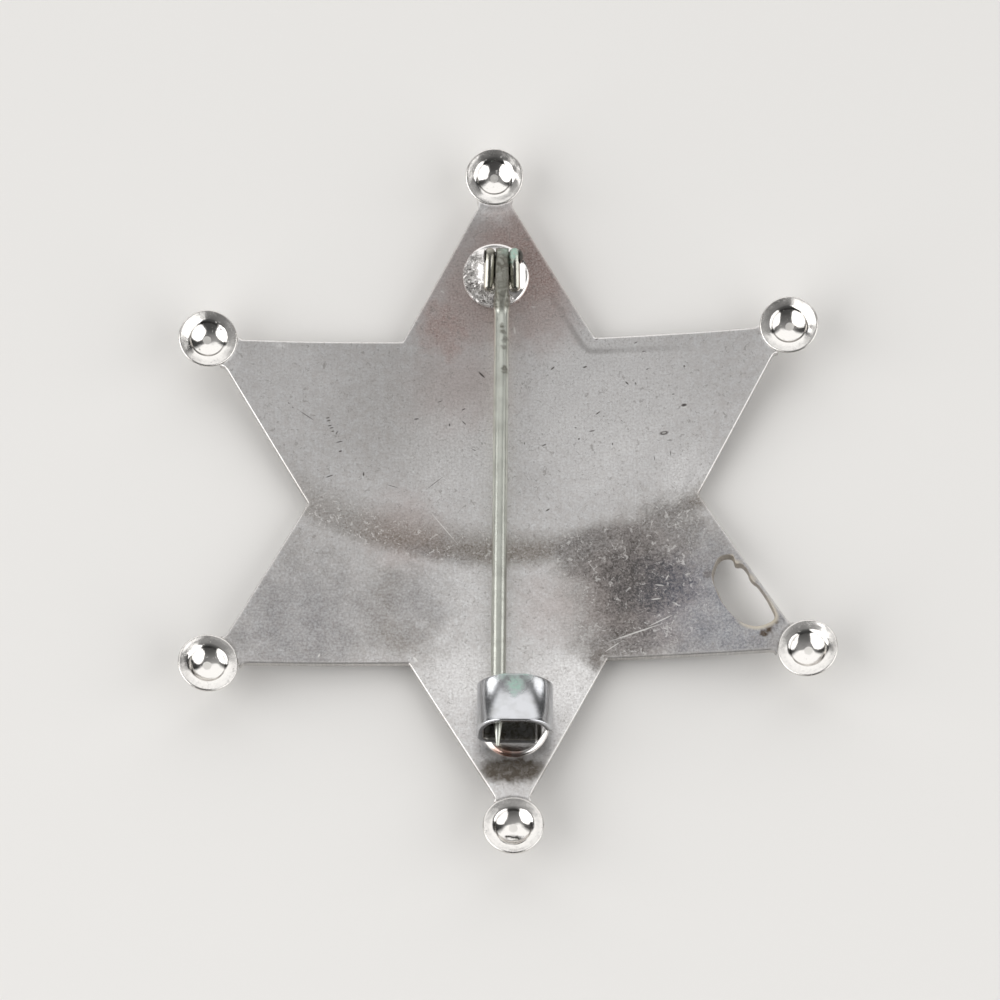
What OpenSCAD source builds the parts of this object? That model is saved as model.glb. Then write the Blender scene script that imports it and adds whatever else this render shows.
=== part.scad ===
// Six-pointed star badge with ball tips, lying on its face with the pin uppermost.
// Millimetres. The origin is under the middle of the star, on the surface it lies on.
// +Z is up, out of the hollow back, and +Y points from the catch to the hinge.

/* [Star plate] */
// Distance from the middle of the star to the middle of each ball tip
tip_reach = 30.8; // [30.4:0.1:31.6]
// Thickness of the struck sheet
sheet_t = 1; // [0.9:0.05:1.1]
// Radius of the hollow back face
dish_r = 147; // [140:1:160]

/* [Ball tips] */
// Radius of each ball tip, over its rim
ball_r = 2.7; // [2.6:0.05:2.8]
// Radius of each cup's mouth, inside the sloping rim
cup_mouth_r = 1.62; // [1.5:0.02:1.8]
// Depth of each cup below its mouth
cup_depth = 0.72; // [0.6:0.02:0.9]
// Depth of each ball below its rim
ball_depth = 2.5; // [2.4:0.05:2.6]

/* [Soldered patches] */
// Radius of the round patches that carry the hinge and the catch
patch_r = 3.1; // [3:0.05:3.2]
// Height of the patches above the hollow back
patch_h = 0.4; // [0.3:0.05:0.5]

/* [Hinge] */
// Distance from the middle of the star to the hinge, towards the upper tip
hinge_y = 21.8; // [21.4:0.1:22.2]
// Gap between the ears
ear_gap = 1.3; // [1.26:0.01:1.34]
// Thickness of an ear
ear_t = 1.05; // [0.9:0.05:1.1]
// Height of the rivet above the patch
rivet_h = 1.45; // [1.4:0.05:1.6]
// Radius of the rivet
rivet_r = 0.45; // [0.4:0.01:0.46]

/* [Pin] */
// Radius of the pin wire
wire_r = 0.68; // [0.62:0.01:0.7]
// Length from the rivet to the point
pin_len = 46.6; // [46:0.1:47]
// Angle between the pin and the upright axis of the star, seen from above
pin_slant = 2.08; // [1.8:0.01:2.3]

/* [Catch] */
// Distance from the middle of the star to the catch, towards the lower tip
catch_y = 20.6; // [20.4:0.1:20.8]
// Width of the catch over its two sides
catch_w = 6.6; // [6.4:0.1:6.8]
// Height of the catch above its patch
catch_h = 4.6; // [4.4:0.1:4.8]
// Thickness of the catch strip
catch_t = 0.65; // [0.6:0.05:0.7]

/* [Hidden] */

// Curve steps of the parts, and of the two large spheres of the sheet
$fn = 72;
dish_fn = 360;
// Enough to carry a cut past a face
past = 1;

notch_reach = tip_reach / sqrt(3);
dish_centre_z = dish_r + sheet_t;
prism_h = 12;

// The rim slopes in to the cup, and its outer edge is rounded. The plate is cut back inside it.
rim_slope = 10;
rim_round = 0.15;
cup_seat_r = ball_r - rim_round;

// The hole was worn through beside one edge. Its outline is taken along that edge from the
// notch at the right, and inwards from the edge.
HOLE = [
  // along, inwards
  [6.30, 1.45], [6.62, 0.80], [7.20, 0.42], [8.40, 0.34], [10.2, 0.32], [11.8, 0.34],
  [12.9, 0.42], [13.5, 0.70], [13.8, 1.20], [13.7, 1.95], [13.4, 2.70], [12.8, 3.25],
  [11.9, 3.65], [10.8, 3.82], [9.70, 3.76], [8.60, 3.60], [7.60, 3.32], [6.90, 2.80],
  [6.46, 2.15]
];
// Two tabs of metal left standing in the hole: along, inwards, radius
HOLE_TABS = [[7.30, 0.62, 0.34], [9.45, 0.30, 0.26]];

// The patches sit off the middle of the hinge and the catch
hinge_patch_shift = [-0.4, -0.5];
catch_patch_shift = [0, -0.8];
patch_round = 0.25;
patch_root = 0.5;

// The hinge's base and ears, from its middle
hinge_base_t = 0.4;
hinge_base_w = ear_gap + 2 * ear_t;
ear_foot_y = -1.85;
ear_foot_z = 0.85;
ear_top_r = 0.8;
rivet_y = 1.1;
rivet_fit = 0.02;
rivet_head_h = 0.35;
rivet_head_r = 0.75;

// The pin line lies a little left of the middle of the star
pin_shift = -0.32;
pin_gap = 0.05;
eye_fit = 0.05;
eye_r = 0.8;
head_r = 0.82;
head_len = 3.9;
shoulder_r = 0.78;
shoulder_len = 0.8;
shoulder_taper = 1;
eased_len = 2.8;
eased_r = 0.64;
point_len = 3.6;
point_r = 0.1;
// Height of the pin above the hollow back, at the catch
pin_in_catch_z = 2.7;

// The catch, from its middle
catch_shift = 1.5;
catch_north = 2.15;
catch_south = 2.75;
catch_lean = 0.55;
catch_top_r = 1.9;
catch_base_r = 1.2;
catch_floor_x = 2;
catch_lip_z = 1.7;

// A place on the pin line, given by its offset from a point of the hollow back at distance y0
function dish_angle(y0) = asin(y0 / dish_r);
function dish_point(y0, y, z) = [
  dish_r * sin(dish_angle(y0)) + y * cos(dish_angle(y0)) - z * sin(dish_angle(y0)),
  dish_centre_z - dish_r * cos(dish_angle(y0)) + y * sin(dish_angle(y0)) + z * cos(dish_angle(y0))
];
rivet_at = dish_point(hinge_y, rivet_y, patch_h + rivet_h);
catch_at = dish_point(-catch_y, 0, pin_in_catch_z);
pin_rise = atan2(catch_at[1] - rivet_at[1], rivet_at[0] - catch_at[0]);

// Where a line from a point touches the upper side of a circle
function touch_point(p, c, r) =
  let (d = norm(c - p), a = atan2(c[1] - p[1], c[0] - p[0]) + asin(r / d), l = sqrt(d * d - r * r))
  [p[0] + l * cos(a), p[1] + l * sin(a)];

// Stands the children on the hollow back, upright to it, at distance y0 along +Y
module on_dish(y0) {
  translate([0, 0, dish_centre_z])
    rotate([dish_angle(y0), 0, 0])
      translate([0, 0, -dish_r])
        children();
}

module on_pin_line() {
  translate([pin_shift, 0, 0])
    rotate([0, 0, -pin_slant])
      children();
}

module at_tips() {
  for (i = [0:5])
    rotate([0, 0, 60 * i])
      on_dish(tip_reach)
        children();
}

module star_outline() {
  polygon([for (i = [0:11])
    let (r = i % 2 == 0 ? tip_reach : notch_reach)
    [r * sin(30 * i), r * cos(30 * i)]]);
}

module hole_outline() {
  translate([notch_reach, 0])
    rotate(-60)
      mirror([0, 1])
        difference() {
          polygon(HOLE);
          for (t = HOLE_TABS)
            translate([t[0], t[1]])
              circle(r = t[2], $fn = 24);
        }
}

// The sheet between two spheres round one centre, cut to the star
module dished_sheet() {
  intersection() {
    linear_extrude(prism_h)
      difference() {
        star_outline();
        hole_outline();
      }
    translate([0, 0, dish_centre_z])
      difference() {
        sphere(r = dish_r + sheet_t, $fn = dish_fn);
        sphere(r = dish_r, $fn = dish_fn);
      }
  }
}

// Half the section of a ball tip: a ball below, and above it a rim that slopes in to a round cup
module ball_section() {
  cup_r = (cup_mouth_r * cup_mouth_r + cup_depth * cup_depth) / (2 * cup_depth);
  rim_mid = ball_r - rim_round;
  rim_in = [rim_mid - rim_round * sin(rim_slope), rim_round * cos(rim_slope) - rim_round];
  mouth_z = rim_in[1] - (rim_in[0] - cup_mouth_r) * tan(rim_slope);
  difference() {
    union() {
      intersection() {
        translate([0, ball_r - ball_depth])
          circle(r = ball_r);
        polygon([
          [0, -ball_depth], [ball_r, -ball_depth], [ball_r, -rim_round], [rim_mid, -rim_round],
          rim_in, [cup_mouth_r, mouth_z], [0, mouth_z]
        ]);
      }
      translate([rim_mid, -rim_round])
        circle(r = rim_round, $fn = 36);
    }
    translate([0, mouth_z + cup_r - cup_depth])
      circle(r = cup_r);
  }
}

module patch() {
  rotate_extrude() {
    translate([0, -patch_root])
      square([patch_r - patch_round, patch_root + patch_h]);
    translate([0, -patch_root])
      square([patch_r, patch_root + patch_h - patch_round]);
    translate([patch_r - patch_round, patch_h - patch_round])
      circle(r = patch_round, $fn = 36);
  }
}

module star_plate() {
  color("silver") {
    difference() {
      dished_sheet();
      at_tips()
        cylinder(r = cup_seat_r, h = 4 * sheet_t, center = true);
    }
    at_tips()
      rotate_extrude()
        ball_section();
    on_pin_line() {
      on_dish(hinge_y)
        translate(hinge_patch_shift)
          patch();
      on_dish(-catch_y)
        translate([catch_shift, 0] + catch_patch_shift)
          patch();
    }
  }
}

// One ear's side view, in the plane of the pin's swing
module ear_side() {
  top = [rivet_y, rivet_h];
  foot = [ear_foot_y, ear_foot_z];
  difference() {
    union() {
      polygon([
        [ear_foot_y, 0], foot, touch_point(foot, top, ear_top_r), top,
        [rivet_y + ear_top_r, rivet_h], [rivet_y + ear_top_r, 0]
      ]);
      translate(top)
        circle(r = ear_top_r);
    }
    translate(top)
      circle(r = rivet_r + rivet_fit);
  }
}

module hinge_joint() {
  color("darkseagreen")
    on_pin_line()
      on_dish(hinge_y)
        translate([0, 0, patch_h]) {
          for (side = [-1, 1])
            translate([side * (ear_gap + ear_t) / 2 - ear_t / 2, 0, 0])
              rotate([90, 0, 90])
                linear_extrude(ear_t)
                  ear_side();
          translate([-hinge_base_w / 2, ear_foot_y, 0])
            cube([hinge_base_w, rivet_y + ear_top_r - ear_foot_y, hinge_base_t]);
        }
}

module rivet_head() {
  head_ball_r = (rivet_head_r * rivet_head_r + rivet_head_h * rivet_head_h) / (2 * rivet_head_h);
  rotate([0, 90, 0])
    intersection() {
      cylinder(r = rivet_head_r + past, h = rivet_head_h + past);
      translate([0, 0, rivet_head_h - head_ball_r])
        sphere(r = head_ball_r);
    }
}

module hinge_rivet() {
  color("slategray")
    on_pin_line()
      on_dish(hinge_y)
        translate([0, rivet_y, patch_h + rivet_h]) {
          rotate([0, 90, 0])
            cylinder(r = rivet_r, h = hinge_base_w, center = true);
          for (side = [0, 1])
            mirror([side, 0, 0])
              translate([hinge_base_w / 2, 0, 0])
                rivet_head();
        }
}

// The strip's section across the pin: a floor, a closed side, a hood and a free lip
module catch_section() {
  difference() {
    rounded_box(catch_w, catch_h, catch_top_r, catch_base_r);
    translate([0, catch_t])
      rounded_box(
        catch_w - 2 * catch_t, catch_h - 2 * catch_t, catch_top_r - catch_t, catch_base_r - catch_t
      );
    translate([catch_floor_x, -past])
      square([catch_w, catch_lip_z + past]);
  }
}

// A box on the x axis with two corner radii
module rounded_box(w, h, top_r, base_r) {
  translate([-w / 2 + top_r, base_r])
    square([w - 2 * top_r, h - base_r]);
  translate([-w / 2, base_r])
    square([w, h - top_r - base_r]);
  translate([-w / 2 + base_r, 0])
    square([w - 2 * base_r, h - top_r]);
  for (side = [-1, 1]) {
    translate([side * (w / 2 - top_r), h - top_r])
      circle(r = top_r);
    translate([side * (w / 2 - base_r), base_r])
      circle(r = base_r);
  }
}

module catch() {
  lean = atan(catch_lean / catch_h);
  color("gainsboro")
    on_pin_line()
      on_dish(-catch_y)
        translate([catch_shift, 0, patch_h])
          difference() {
            translate([0, catch_north, 0])
              rotate([90, 0, 0])
                linear_extrude(catch_north + catch_south)
                  catch_section();
            translate([0, -catch_south, 0])
              rotate([-lean, 0, 0])
                translate([-catch_w, -catch_w, -past])
                  cube([2 * catch_w, catch_w, 2 * catch_h]);
          }
}

module pin_stem() {
  straight_len = pin_len - head_len - shoulder_len - eased_len - point_len;
  color("lightslategray")
    on_pin_line()
      translate([0, rivet_at[0], rivet_at[1]])
        rotate([-pin_rise, 0, 0])
          difference() {
            union() {
              rotate([0, 90, 0])
                cylinder(r = eye_r, h = ear_gap - 2 * pin_gap, center = true);
              intersection() {
                rotate([90, 0, 0])
                  cylinder(r = head_r, h = head_len + shoulder_len / 2);
                translate([-ear_gap / 2 + pin_gap, -head_len - shoulder_len, -head_r - past])
                  cube([ear_gap - 2 * pin_gap, head_len + shoulder_len, 2 * (head_r + past)]);
              }
              translate([0, -head_len, 0])
                rotate([90, 0, 0])
                  pin_turned(straight_len);
            }
            rotate([0, 90, 0])
              cylinder(r = rivet_r + eye_fit, h = 2 * ear_gap, center = true);
          }
}

// The round part of the pin, from its shoulder to its point. The wire eases in a little before
// the catch, and then narrows to the point.
module pin_turned(straight_len) {
  wire_end = shoulder_len + straight_len;
  point_start = wire_end + eased_len;
  rotate_extrude()
    polygon([
      [0, 0], [shoulder_r, 0], [shoulder_r, shoulder_len], [wire_r, shoulder_len + shoulder_taper],
      [wire_r, wire_end], [eased_r, point_start], [point_r, point_start + point_len],
      [0, point_start + point_len]
    ]);
}

star_plate();
hinge_joint();
hinge_rivet();
catch();
pin_stem();
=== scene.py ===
import math

import bpy
import numpy as np
from mathutils import Matrix, Vector


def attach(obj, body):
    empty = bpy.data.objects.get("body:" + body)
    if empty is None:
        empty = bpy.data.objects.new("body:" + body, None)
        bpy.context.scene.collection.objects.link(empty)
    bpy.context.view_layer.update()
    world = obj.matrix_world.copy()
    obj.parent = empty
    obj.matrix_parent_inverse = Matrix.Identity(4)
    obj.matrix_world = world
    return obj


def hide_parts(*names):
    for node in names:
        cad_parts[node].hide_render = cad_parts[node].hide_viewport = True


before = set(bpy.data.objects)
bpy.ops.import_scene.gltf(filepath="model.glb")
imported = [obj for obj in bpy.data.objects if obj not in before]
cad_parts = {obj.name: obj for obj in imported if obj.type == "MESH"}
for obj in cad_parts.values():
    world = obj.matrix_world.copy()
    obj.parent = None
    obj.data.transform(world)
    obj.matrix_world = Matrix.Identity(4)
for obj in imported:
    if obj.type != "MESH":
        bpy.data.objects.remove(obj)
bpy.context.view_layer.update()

# Lengths are in millimetres in the badge's own frame: +Z out of the hollow back, +Y from the catch
# to the hinge. MM turns them to metres when a mesh is made. At the end of a name, T is a thickness, R a
# radius, H a height and W a width.
MM = 0.001

# Star plate
TIP_REACH = 30.8
NOTCH_REACH = TIP_REACH / math.sqrt(3)
EDGE_REACH = TIP_REACH / 2
SHEET_T = 1
DISH_R = 147
DISH_MIDDLE = DISH_R + SHEET_T
TIP_ANGLES = [90 + 60 * tip for tip in range(6)]
TIP_HALF_ANGLE = 30
EDGE_ROUND = 0.18
NOTCH_ROUND = 0.3
# A struck line that follows the outline
BORDER_INSET = 1.38
BORDER_W = 0.3

# Ball tips: a ball in front, and behind it a rim that slopes in to a polished cup with a small flat at
# its bottom
BALL_R = 2.7
BALL_MIDDLE_Z = 0.2
BALL_STEPS = 28
RIM_ROUND = 0.15
RIM_SLOPE = 14
LIP_R = 1.9
LIP_ROUND = 0.6
STEP_SLOPE = 40
CUP_MOUTH_R = 1.53
CUP_R = 2.6
CUP_FLAT_R = 0.38
SEAT_R = 2.5
NECK_FILLET_R = 0.6
SHEET_SINK = 0.06

# Hole worn through the sheet beside one edge. The outline is taken along the edge from the notch
# at the right, and inwards from the edge. Two small tabs of metal stand in it.
HOLE_TIP = 4
HOLE = [
    # along, inwards
    (6.24, 1.65), (6.46, 0.95), (6.84, 0.68), (7.15, 0.75), (7.42, 0.86), (7.68, 0.72), (7.9, 0.44),
    (8.3, 0.33), (8.9, 0.36), (9.35, 0.51), (9.9, 0.49), (10.3, 0.34), (11, 0.31), (11.8, 0.33),
    (12.7, 0.44), (13.4, 0.55), (13.75, 0.75), (13.93, 1.2), (13.8, 2.05), (13.45, 2.75), (12.75, 3.34),
    (11.85, 3.7), (10.8, 3.84), (9.6, 3.83), (8.45, 3.62), (7.35, 3.27), (6.5, 2.35),
]
HOLE_MIDDLE = (10.2, 2.05)
HOLE_ROUND = 0.07
HOLE_SLANT = 0.28
HOLE_SLANT_WAY = 150
# The block of the sheet that the hole is cut in reaches this far in from the outline and starts this far
# along it. HOLE_STEPS points lie beside it on the outline. The sheet has FAR_RINGS rings further in than
# the block and NEAR_RINGS through it.
HOLE_BLOCK = 5
HOLE_STEPS = 104
FAR_RINGS = 18
NEAR_RINGS = 25

# Soldered patches
PATCH_R = 3.1
PATCH_H = 0.4
PATCH_SINK = 0.3
HINGE_PATCH_SHIFT = (-0.55, -0.35)
HINGE_PATCH_ROUND = 0.25
CATCH_PATCH_SHIFT = (1.5, -0.8)
CATCH_PATCH_ROUND = 0.38
# Half the width and length of the hinge's and the catch's foot, and how far the solder creeps out from it
HINGE_FOOT = (1.35, 1.3)
HINGE_CREEP = 0.62
CATCH_FOOT = (2.2, 2.3)
CATCH_CREEP = 0.5

# Hinge, rivet and pin, from the middle of the hinge on the hollow back
HINGE_Y = 21.8
EAR_GAP = 1.3
RIVET_H = 1.45
RIVET_R = 0.45
RIVET_Y = 1.1
RIVET_HEAD_H = 0.35
RIVET_HEAD_R = 0.75
# The left head's height as a share of the right one's
LEFT_HEAD = 0.4
EAR_FOOT_Y = -1.95
EAR_FOOT_Z = 0.85
EAR_TOP_R = 0.8
EAR_ROUND = 0.45
EAR_SINK = 0.35
EAR_NORTH_T = 0.98
EAR_SOUTH_T = 1.08
BASE_T = 0.4
PIN_SHIFT = -0.32
PIN_SLANT = 2.08
PIN_GAP = 0.05
PIN_LEN = 46.6
EYE_R = 0.8
# Power that squares the eye's section, against 1 for a round one
EYE_POWER = 0.42
HEAD_R = 0.82
HEAD_LEN = 3.9
SHOULDER_R = 0.78
SHOULDER_LEN = 0.8
SHOULDER_TAPER = 1
WIRE_R = 0.68
EASED_LEN = 2.8
EASED_R = 0.64
POINT_LEN = 3.6
POINT_R = 0.1
PIN_IN_CATCH_Z = 2.7

# Catch
CATCH_Y = 20.6
CATCH_SHIFT = 1.5
CATCH_W = 6.75
CATCH_H = 4.6
CATCH_T = 0.65
CATCH_NORTH = 2.15
CATCH_SOUTH = 2.75
CATCH_LEAN = 0.55
CATCH_TOP_R = 2.6
CATCH_BASE_R = 1.2
CATCH_FLOOR_X = 2
CATCH_LIP_Z = 1.7
LIP_CORNER_R = 1
STRIP_ROUND = 0.2
HOOD_DIP = 0.34
HOOD_ARCH = -0.1


def linear(hex_colour):
    """An sRGB hex colour as linear red, green, blue and alpha."""
    parts = np.array([int(hex_colour[i:i + 2], 16) for i in (1, 3, 5)]) / 255
    low, high = parts / 12.92, ((parts + 0.055) / 1.055) ** 2.4
    return (*np.where(parts <= 0.04045, low, high), 1)


# Helpers

def columns(*parts):
    """Points from their coordinates, each of them an array or one value for all."""
    return np.stack(np.broadcast_arrays(*parts), -1)


def there_and_back(values):
    """The values, and then the same ones from the last to the first."""
    return np.concatenate([values, values[::-1]])


def unit(values):
    """The values held between 0 and 1."""
    return np.clip(values, 0, 1)


def ease(t):
    """The soft step 3t^2 - 2t^3 from 0 to 1."""
    return t * t * (3 - 2 * t)


def arc(middle, radius, start, end, count):
    """Points on a circle from one angle to another, in degrees, both ends included."""
    a = np.radians(np.linspace(start, end, count))
    return columns(middle[0] + radius * np.cos(a), middle[1] + radius * np.sin(a))


def turned(points, degrees):
    """The points with their first two coordinates turned counter-clockwise about the origin."""
    c, s = math.cos(math.radians(degrees)), math.sin(math.radians(degrees))
    out = np.array(points, float)
    x, y = out[..., 0].copy(), out[..., 1].copy()
    out[..., 0], out[..., 1] = c * x - s * y, s * x + c * y
    return out


def on_dish(points, y0):
    """Points given from a spot of the hollow back at distance y0 along +Y, with z along the sheet's own
    upright there: they are turned by asin(y0 / R) about the middle of the sphere."""
    a = math.asin(y0 / DISH_R)
    out = np.array(points, float)
    y, z = out[..., 1].copy(), out[..., 2] - DISH_R
    out[..., 1] = y * math.cos(a) - z * math.sin(a)
    out[..., 2] = DISH_MIDDLE + y * math.sin(a) + z * math.cos(a)
    return out


def on_pin_line(points):
    """Points of the upright middle plane moved to the slanted line of the pin."""
    out = turned(points, -PIN_SLANT)
    out[..., 0] += PIN_SHIFT
    return out


def grain(x, y, size, seed):
    """Smooth random height from -1 to 1: random values on a square lattice of this size, blended
    between the four nearest with the soft step."""
    table = np.random.default_rng(seed).uniform(-1, 1, (64, 64))
    u, v = x / size, y / size
    i, j = np.floor(u).astype(int), np.floor(v).astype(int)
    f, g = ease(u - i), ease(v - j)
    here, up, right, beyond = (table[(i + a) % 64, (j + b) % 64] for a, b in [(0, 0), (0, 1), (1, 0), (1, 1)])
    return (here * (1 - f) + right * f) * (1 - g) + (up * (1 - f) + beyond * f) * g


def bump_at(x, y, middle, reach):
    """A round hill of height 1 at a point, exp(-(distance / reach)^2)."""
    return np.exp(-((x - middle[0]) ** 2 + (y - middle[1]) ** 2) / reach ** 2)


# Surfaces from rings, and objects

def ring_faces(index):
    """Faces between neighbouring rings of point numbers; counter-clockwise rings that climb face out."""
    after = np.roll(index, -1, axis=1)
    return np.stack([index[:-1], after[:-1], after[1:], index[1:]], -1)


def skin(rings):
    """A closed surface: faces between the rings, and a fan to the middle of the first and last ring."""
    count, around = rings.shape[:2]
    index = np.arange(count * around).reshape(count, around)
    ends = np.stack([rings[0].mean(0), rings[-1].mean(0)])
    first, last = count * around, count * around + 1
    start = np.stack([np.full(around, first), np.roll(index[0], -1), index[0]], -1)
    end = np.stack([np.full(around, last), index[-1], np.roll(index[-1], -1)], -1)
    quads = ring_faces(index).reshape(-1, 4)
    return np.concatenate([rings.reshape(-1, 3), ends]), quads.tolist() + start.tolist() + end.tolist()


def joined(surfaces):
    """Several surfaces as one list of points and one of faces."""
    points, faces, count = [], [], 0
    for own_points, own_faces in surfaces:
        points.append(own_points)
        faces += [[i + count for i in face] for face in own_faces]
        count += len(own_points)
    return np.concatenate(points), faces


def placed(name, data):
    """A new object of the scene at the origin."""
    made = bpy.data.objects.new(name, data)
    bpy.context.scene.collection.objects.link(made)
    return made


def piece(name, surface, material, body, node, attributes=None):
    """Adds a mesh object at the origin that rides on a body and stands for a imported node."""
    points, faces = surface
    mesh = bpy.data.meshes.new(name)
    mesh.from_pydata((points * MM).tolist(), [], faces)
    mesh.polygons.foreach_set("use_smooth", [True] * len(mesh.polygons))
    for key, values in (attributes or {}).items():
        mesh.attributes.new(key, "FLOAT", "POINT").data.foreach_set("value", values.astype(np.float32))
    mesh.materials.append(material)
    mesh.update()
    made = placed(name, mesh)
    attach(made, body)
    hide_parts(node)


# Star sheet

def star_outline():
    """The star in plan, counter-clockwise, tip by tip: an arc in the notch, a straight edge, the arc where
    the ball's wall takes over, and the other edge. The edge beside the hole has closer points. With it come
    the numbers of the two points between which the hole lies."""
    half = math.radians(TIP_HALF_ANGLE)
    tangent = NOTCH_ROUND * math.tan(math.pi / 6)
    edge_end = NOTCH_REACH - SEAT_R
    along = np.linspace(tangent, edge_end, 40)
    close = np.linspace(HOLE_BLOCK, edge_end, HOLE_STEPS + 1)
    close = np.concatenate([np.linspace(tangent, HOLE_BLOCK, 12), close[1:]])
    seat = arc((TIP_REACH, 0), SEAT_R, 210, 150, 13)[1:-1]
    notch_middle = NOTCH_REACH + NOTCH_ROUND / math.sin(math.pi / 3)
    notch = turned(arc((notch_middle, 0), NOTCH_ROUND, 210, 150, 6)[1:-1], -TIP_HALF_ANGLE)
    parts, starts = [], []
    for tip, angle in enumerate(TIP_ANGLES):
        back = (close if tip == HOLE_TIP else along)[::-1]
        right = columns(EDGE_REACH + along * math.cos(half), along * math.sin(half) - NOTCH_REACH / 2)
        left = columns(EDGE_REACH + back * math.cos(half), NOTCH_REACH / 2 - back * math.sin(half))
        starts.append(sum(len(part) for part in parts))
        parts.append(turned(np.concatenate([notch, right, seat, left]), angle))
    seat_corner = starts[HOLE_TIP] + len(notch) + len(along) - 1
    return np.concatenate(parts), seat_corner, seat_corner + len(seat) + 1 + HOLE_STEPS


def half_rings():
    """Distance of each ring from the outline and its depth under the face, from the middle outwards; the
    last few follow the rounded edge."""
    far, near = np.linspace(14.9, HOLE_BLOCK, FAR_RINGS), np.linspace(4.8, 0.36, NEAR_RINGS)
    flat = np.concatenate([far, near, [EDGE_ROUND + 0.04]])
    a = np.linspace(0, math.pi / 2, 6)
    inset = np.concatenate([flat, EDGE_ROUND * (1 - np.sin(a))])
    return inset, np.concatenate([0 * flat, EDGE_ROUND * (1 - np.cos(a))])


def from_tip(x, y):
    """Distance from the middle of the star, and the angle from the nearest tip's direction."""
    angle = np.arctan2(y, x)
    return np.hypot(x, y), (angle + math.pi / 6 - math.pi / 2) % (math.pi / 3) - math.pi / 6


def edge_distance(x, y):
    """Distance from the star's outline: half the tip's reach less r cos(60 - angle from the tip), and the
    distance from the notch where that is nearer than the edge."""
    r, angle = from_tip(x, y)
    from_edge = EDGE_REACH - r * np.cos(math.pi / 3 - np.abs(angle))
    short = NOTCH_REACH / 2 - r * np.sin(math.pi / 3 - np.abs(angle))
    return np.where(short > 0, np.hypot(from_edge, short), from_edge)


def beside_edge(points):
    """Points given along the edge beside the hole, from its notch, and inwards from it, in plan."""
    along, inwards = np.asarray(points, float).T
    a = math.radians(TIP_HALF_ANGLE)
    return turned(columns(EDGE_REACH + along * math.cos(a) - inwards * math.sin(a),
                          NOTCH_REACH / 2 - along * math.sin(a) - inwards * math.cos(a)),
                  TIP_ANGLES[HOLE_TIP])


def hole_reach(angle):
    """Distance from the hole's middle to its edge at an angle in plan: a smooth closed curve through the
    table's points."""
    middle = beside_edge(HOLE_MIDDLE)
    p = beside_edge(HOLE) - middle
    t = np.linspace(0, 1, 12, endpoint=False)[:, None]
    pieces = []
    for before, here, after, beyond in zip(np.roll(p, 1, 0), p, np.roll(p, -1, 0), np.roll(p, -2, 0)):
        bend = 2 * before - 5 * here + 4 * after - beyond
        twist = 3 * here - before - 3 * after + beyond
        pieces.append(here + 0.5 * ((after - before) * t + bend * t ** 2 + twist * t ** 3))
    around = np.linspace(-math.pi, math.pi, 1440, endpoint=False)
    reach = np.interp(around, *sorted_by_angle(np.concatenate(pieces)), period=2 * math.pi)
    window = np.hanning(9) / np.hanning(9).sum()
    reach = np.convolve(np.concatenate([reach[-4:], reach, reach[:4]]), window, "valid")
    return np.interp(angle, around, reach, period=2 * math.pi)


def sorted_by_angle(curve):
    """Angles and distances of a curve's points from the origin, in order of angle."""
    angle, distance = np.arctan2(curve[:, 1], curve[:, 0]), np.hypot(curve[:, 0], curve[:, 1])
    order = np.argsort(angle)
    return angle[order], distance[order]


def widen_necks(points):
    """Spreads the sheet sideways next to each ball, so that its straight edges flare on an arc of the
    fillet's radius that touches the edge and the ball."""
    half = math.radians(TIP_HALF_ANGLE)
    run = math.sqrt((BALL_R + NECK_FILLET_R) ** 2 - NECK_FILLET_R ** 2)
    fillet_x = run * math.cos(half) - NECK_FILLET_R * math.sin(half)
    fillet_y = run * math.sin(half) + NECK_FILLET_R * math.cos(half)
    out = points
    for angle in TIP_ANGLES:
        local = turned(out, -angle)
        reach = TIP_REACH - local[..., 0]
        beside = (reach > 0) & (reach < run * math.cos(half)) & (np.abs(local[..., 1]) < BALL_R)
        rise = np.sqrt(np.maximum(NECK_FILLET_R ** 2 - (reach - fillet_x) ** 2, 0))
        wider = np.where(beside, (fillet_y - rise) / np.maximum(reach * math.tan(half), 0.1), 1)
        local[..., 1] *= np.clip(wider, 1, 1.5)
        out = turned(local, angle)
    return out


def ball_distance(x, y):
    """Distance from the middle of the nearest ball tip."""
    r, angle = from_tip(x, y)
    return np.hypot(r * np.cos(angle) - TIP_REACH, r * np.sin(angle))


def back_relief(x, y):
    """Height of the back's hand-made unevenness over its sphere: broad waves, the ghost of the struck
    border line and a nick by one tip. The sheet sinks a little where a ball's rim overlaps it."""
    border = np.exp(-((edge_distance(x, y) - BORDER_INSET) / BORDER_W) ** 2)
    shown = np.maximum(bump_at(x, y, (9.5, 14), 6), 0.7 * bump_at(x, y, (17, 1), 4))
    height = 0.035 * grain(x, y, 9, 1) + 0.014 * grain(x, y, 3.1, 2) + 0.004 * grain(x, y, 0.9, 3)
    height -= 0.01 * border * shown + 0.07 * bump_at(x, y, (-20.06, 15.15), 0.3)
    away = ease(unit((ball_distance(x, y) - 2.9) / 1.1))
    return height * away - SHEET_SINK * (1 - away)


def front_relief(x, y):
    """Depth of the struck border line of the front and its slight waves."""
    border = np.exp(-((edge_distance(x, y) - BORDER_INSET) / (0.6 * BORDER_W)) ** 2)
    return 0.09 * border + 0.01 * (1 + grain(x, y, 7, 4))


def sheet_height(x, y, depth):
    """Height at a depth of 0 to 1 through the sheet, between the spheres of the back and the front."""
    r2 = np.minimum(x * x + y * y, DISH_R ** 2)
    back = DISH_MIDDLE - np.sqrt(DISH_R ** 2 - r2) + back_relief(x, y)
    front = DISH_MIDDLE - np.sqrt(DISH_MIDDLE ** 2 - r2) + front_relief(x, y)
    return back + (front - back) * depth


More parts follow.
